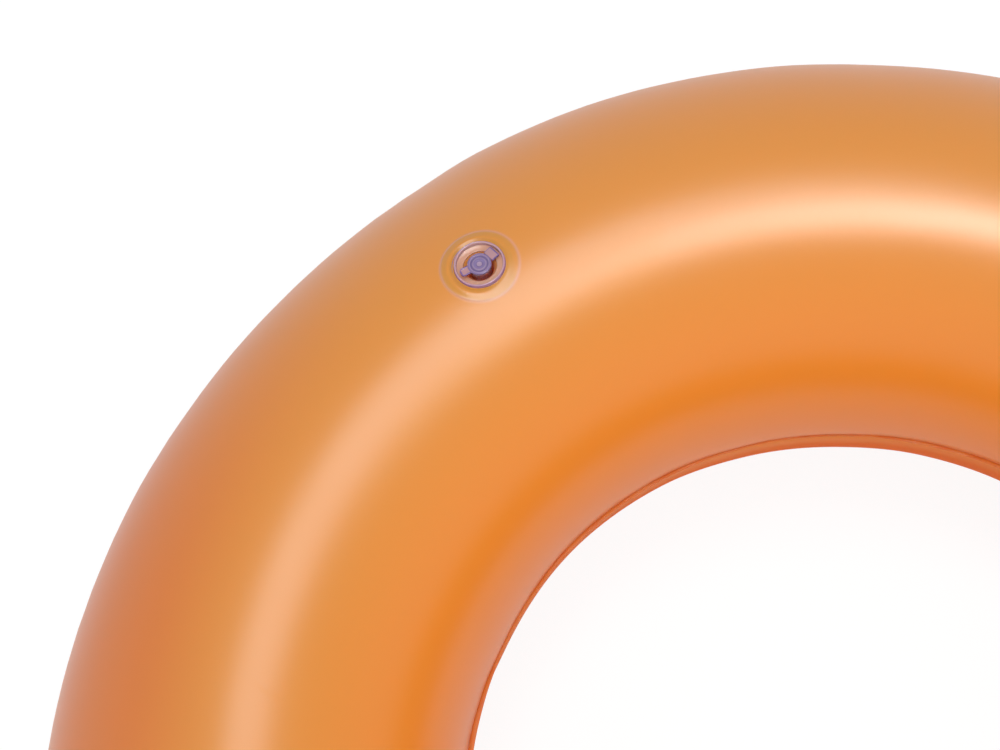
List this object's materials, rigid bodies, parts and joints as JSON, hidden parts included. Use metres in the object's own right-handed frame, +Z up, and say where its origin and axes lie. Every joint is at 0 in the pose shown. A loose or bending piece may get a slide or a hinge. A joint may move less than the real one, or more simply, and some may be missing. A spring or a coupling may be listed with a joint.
{
  "type": "inflatable swim ring",
  "caption": "Ring-shaped inflatable pool float of welded vinyl film, with a round body hole and a recessed push-in blow valve with a tethered plug.",
  "frame": {"origin": "on the floor that the ring lies on, at the middle of its body hole", "axes": "+Z up along the axis of the body hole, +X towards the valve, +Y a quarter turn on from +X seen from above"},
  "size_m": [0.7149, 0.715, 0.1864],
  "materials": {
    "film": "frosted soft vinyl film, orange, slightly see-through",
    "weld": "fused double film, pressed by the welding tool",
    "valve": "clear soft vinyl moulding with a faint violet tint"
  },
  "bodies": {
    "float": {"upper_film": "film", "lower_film": "film", "outer_weld_seam": "weld", "inner_weld_seam": "weld", "valve_flange": "valve", "valve_bellows": "valve"},
    "stem": {"valve_stem": "valve", "tether_strap": "valve"},
    "plug": {"stem_plug": "valve"},
    "flap": {"check_flap": "valve"}
  },
  "joints": [
    {"name": "stem_pop", "type": "slide", "parent": "float", "child": "stem", "axis": [0.0698, 0, 0.9976], "range_m": [0, 0.014], "deforming": ["valve_bellows"]},
    {"name": "plug_swing", "type": "hinge", "parent": "stem", "child": "plug", "pos_m": [0.26968, -0.00865, 0.18454], "axis": [0.9879, 0.1392, -0.0691], "range_deg": [0, 120], "deforming": ["tether_strap"]},
    {"name": "flap_swing", "type": "hinge", "parent": "stem", "child": "flap", "pos_m": [0.26664, 0.00456, 0.16766], "axis": [0.9879, 0.1392, -0.0691], "range_deg": [0, 65]}
  ]
}
